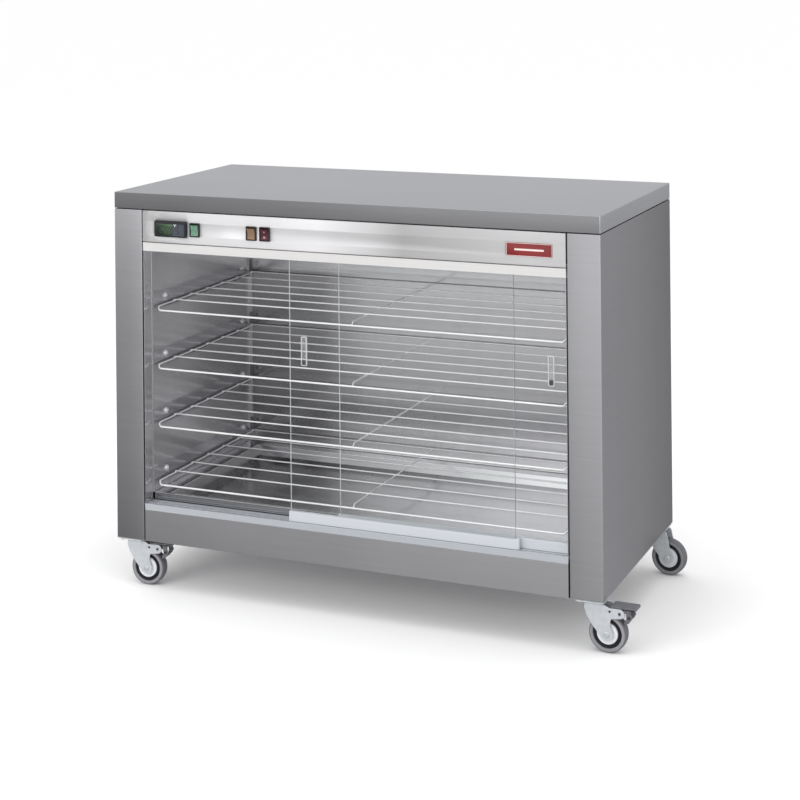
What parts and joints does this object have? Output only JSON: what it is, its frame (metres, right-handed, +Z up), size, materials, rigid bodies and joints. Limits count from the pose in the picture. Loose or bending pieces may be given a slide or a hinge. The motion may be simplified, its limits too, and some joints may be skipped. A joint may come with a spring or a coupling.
{
  "type": "proofing cabinet",
  "caption": "Low wide proofing cabinet on swivel casters: steel body and worktop, two sliding glass doors, wire racks on side hangers, control strip with thermostat and switches.",
  "frame": {"origin": "on the floor, under the middle of the overall outline, which includes the casters and the brake pedal that trail out past the right-hand side", "axes": "+X to the cabinet's right seen from the front, +Y towards the back, +Z up"},
  "size_m": [1.2145, 0.571, 0.8953],
  "materials": {
    "steel": "brushed stainless sheet",
    "liner_steel": "smooth stainless sheet, slightly brighter than the outside",
    "aluminium": "satin anodised extrusion",
    "chrome": "bright chromed wire",
    "zinc": "zinc-plated pressed steel, satin",
    "glass": "clear toughened glass with polished edges",
    "clear_plastic": "clear ribbed moulding",
    "black_plastic": "fine-grained black moulding",
    "green_lens": "translucent green",
    "orange_lens": "translucent orange",
    "red_lens": "translucent dark red",
    "red_badge": "plain red plate with a pale border",
    "hub_plastic": "light grey moulding",
    "grey_rubber": "grey rubber tread",
    "element_steel": "oxidised tube"
  },
  "bodies": {
    "cabinet": {"worktop": "steel", "left_side_panel": "steel", "right_side_panel": "steel", "back_panel": "steel", "base_panel": "steel", "left_liner": "liner_steel", "right_liner": "liner_steel", "back_liner": "liner_steel", "ceiling_liner": "liner_steel", "floor_pan": "liner_steel", "heating_element": "element_steel", "top_track": "aluminium", "bottom_track": "aluminium", "control_panel": "steel", "front_badge": "red_badge", "thermostat": "black_plastic", "green_switch_housing": "black_plastic", "orange_switch_housing": "black_plastic", "red_switch_housing": "black_plastic", "hanger_left_1": "liner_steel", "hanger_left_2": "liner_steel", "hanger_left_3": "liner_steel", "hanger_left_4": "liner_steel", "hanger_right_1": "liner_steel", "hanger_right_2": "liner_steel", "hanger_right_3": "liner_steel", "hanger_right_4": "liner_steel", "caster_plate_front_left": "zinc", "caster_plate_front_right": "zinc", "caster_plate_rear_left": "zinc", "caster_plate_rear_right": "zinc"},
    "front_door": {"front_door_glass": "glass", "front_door_shoe": "aluminium", "front_door_handle": "clear_plastic"},
    "rear_door": {"rear_door_glass": "glass", "rear_door_shoe": "aluminium", "rear_door_handle": "clear_plastic"},
    "rack_1_body": {"rack_1": "chrome"},
    "rack_2_body": {"rack_2": "chrome"},
    "rack_3_body": {"rack_3": "chrome"},
    "rack_4_body": {"rack_4": "chrome"},
    "swivel_front_left": {"caster_fork_front_left": "zinc"},
    "wheel_front_left": {"wheel_hub_front_left": "hub_plastic", "wheel_tyre_front_left": "grey_rubber"},
    "pedal_front_left": {"brake_pedal_front_left": "zinc"},
    "swivel_front_right": {"caster_fork_front_right": "zinc"},
    "wheel_front_right": {"wheel_hub_front_right": "hub_plastic", "wheel_tyre_front_right": "grey_rubber"},
    "pedal_front_right": {"brake_pedal_front_right": "zinc"},
    "swivel_rear_left": {"caster_fork_rear_left": "zinc"},
    "wheel_rear_left": {"wheel_hub_rear_left": "hub_plastic", "wheel_tyre_rear_left": "grey_rubber"},
    "swivel_rear_right": {"caster_fork_rear_right": "zinc"},
    "wheel_rear_right": {"wheel_hub_rear_right": "hub_plastic", "wheel_tyre_rear_right": "grey_rubber"},
    "green_switch_rocker_body": {"green_switch_rocker": "green_lens"},
    "orange_switch_rocker_body": {"orange_switch_rocker": "orange_lens"},
    "red_switch_rocker_body": {"red_switch_rocker": "red_lens"},
    "thermostat_key_up_body": {"thermostat_key_up": "black_plastic"},
    "thermostat_key_down_body": {"thermostat_key_down": "black_plastic"}
  },
  "joints": [
    {"name": "front_door_slide", "type": "slide", "parent": "cabinet", "child": "front_door", "axis": [1, 0, 0], "range_m": [-0.3595, 0.106]},
    {"name": "rear_door_slide", "type": "slide", "parent": "cabinet", "child": "rear_door", "axis": [1, 0, 0], "range_m": [-0.4715, 0]},
    {"name": "rack_1_lift", "type": "slide", "parent": "cabinet", "child": "rack_1_body", "axis": [0, 0, 1], "range_m": [0, 0.03]},
    {"name": "rack_2_lift", "type": "slide", "parent": "cabinet", "child": "rack_2_body", "axis": [0, 0, 1], "range_m": [0, 0.03]},
    {"name": "rack_3_lift", "type": "slide", "parent": "cabinet", "child": "rack_3_body", "axis": [0, 0, 1], "range_m": [0, 0.03]},
    {"name": "rack_4_lift", "type": "slide", "parent": "cabinet", "child": "rack_4_body", "axis": [0, 0, 1], "range_m": [0, 0.03]},
    {"name": "caster_front_left_swivel", "type": "hinge", "parent": "cabinet", "child": "swivel_front_left", "pos_m": [-0.575, -0.249, 0.108], "axis": [0, 0, 1], "continuous": true},
    {"name": "wheel_front_left_spin", "type": "hinge", "parent": "swivel_front_left", "child": "wheel_front_left", "pos_m": [-0.54155, -0.24725, 0.04], "axis": [-0.0523, 0.9986, 0], "continuous": true},
    {"name": "brake_front_left_press", "type": "hinge", "parent": "swivel_front_left", "child": "pedal_front_left", "pos_m": [-0.51309, -0.24576, 0.0855], "axis": [-0.0523, 0.9986, 0], "range_deg": [0, 7]},
    {"name": "caster_front_right_swivel", "type": "hinge", "parent": "cabinet", "child": "swivel_front_right", "pos_m": [0.511, -0.249, 0.108], "axis": [0, 0, 1], "continuous": true},
    {"name": "wheel_front_right_spin", "type": "hinge", "parent": "swivel_front_right", "child": "wheel_front_right", "pos_m": [0.54448, -0.25017, 0.04], "axis": [0.0349, 0.9994, 0], "continuous": true},
    {"name": "brake_front_right_press", "type": "hinge", "parent": "swivel_front_right", "child": "pedal_front_right", "pos_m": [0.57296, -0.25116, 0.0855], "axis": [0.0349, 0.9994, 0], "range_deg": [0, 7]},
    {"name": "caster_rear_left_swivel", "type": "hinge", "parent": "cabinet", "child": "swivel_rear_left", "pos_m": [-0.575, 0.249, 0.108], "axis": [0, 0, 1], "continuous": true},
    {"name": "wheel_rear_left_spin", "type": "hinge", "parent": "swivel_rear_left", "child": "wheel_rear_left", "pos_m": [-0.54158, 0.24666, 0.04], "axis": [0.0698, 0.9976, 0], "continuous": true},
    {"name": "caster_rear_right_swivel", "type": "hinge", "parent": "cabinet", "child": "swivel_rear_right", "pos_m": [0.511, 0.249, 0.108], "axis": [0, 0, 1], "continuous": true},
    {"name": "wheel_rear_right_spin", "type": "hinge", "parent": "swivel_rear_right", "child": "wheel_rear_right", "pos_m": [0.54432, 0.2455, 0.04], "axis": [0.1045, 0.9945, 0], "continuous": true},
    {"name": "green_switch_tilt", "type": "hinge", "parent": "cabinet", "child": "green_switch_rocker_body", "pos_m": [-0.3977, -0.279, 0.8185], "axis": [1, 0, 0], "range_deg": [-16, 0]},
    {"name": "orange_switch_tilt", "type": "hinge", "parent": "cabinet", "child": "orange_switch_rocker_body", "pos_m": [-0.2555, -0.279, 0.8185], "axis": [1, 0, 0], "range_deg": [-16, 0]},
    {"name": "red_switch_tilt", "type": "hinge", "parent": "cabinet", "child": "red_switch_rocker_body", "pos_m": [-0.2224, -0.279, 0.8185], "axis": [1, 0, 0], "range_deg": [-16, 0]},
    {"name": "key_up_press", "type": "slide", "parent": "cabinet", "child": "thermostat_key_up_body", "axis": [0, 1, 0], "range_m": [0, 0.0008], "stiffness_N_per_m": 400},
    {"name": "key_down_press", "type": "slide", "parent": "cabinet", "child": "thermostat_key_down_body", "axis": [0, 1, 0], "range_m": [0, 0.0008], "stiffness_N_per_m": 400}
  ]
}
